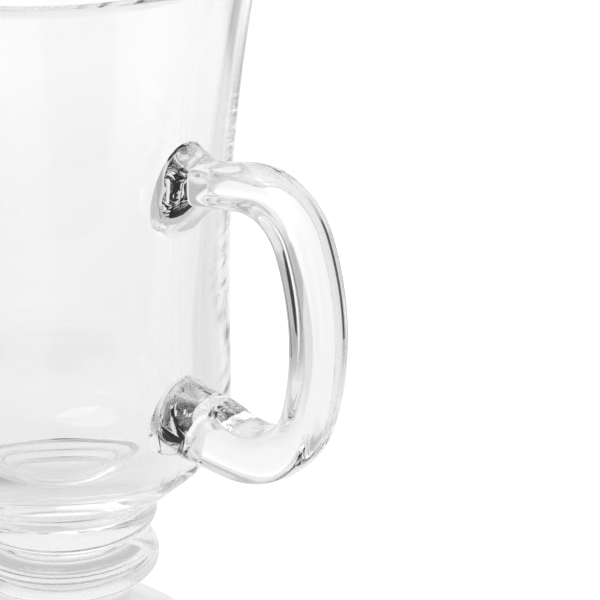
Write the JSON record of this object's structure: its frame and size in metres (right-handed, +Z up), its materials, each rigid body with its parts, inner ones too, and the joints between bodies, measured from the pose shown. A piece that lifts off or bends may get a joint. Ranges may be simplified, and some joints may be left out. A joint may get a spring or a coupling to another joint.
{
  "type": "irish coffee mug",
  "caption": "Clear glass mug for hot coffee drinks: a tall flared bowl on a short ringed stem and a domed foot, with a loop handle welded to the bowl at flared pads.",
  "frame": {"origin": "Centre of the foot's resting plane, on the axis of the bowl, stem and foot", "axes": "+Z runs up the bowl's axis to the rim, +X points from that axis to the handle, +Y lies across the handle"},
  "size_m": [0.1091, 0.078, 0.147],
  "materials": {
    "clear_glass": "clear pressed soda-lime glass, fire-polished, smooth and glossy"
  },
  "bodies": {
    "root": {"bowl": "clear_glass", "collar_ring": "clear_glass", "knopped_stem": "clear_glass", "foot": "clear_glass", "handle": "clear_glass", "upper_handle_pad": "clear_glass", "lower_handle_pad": "clear_glass"}
  },
  "joints": []
}
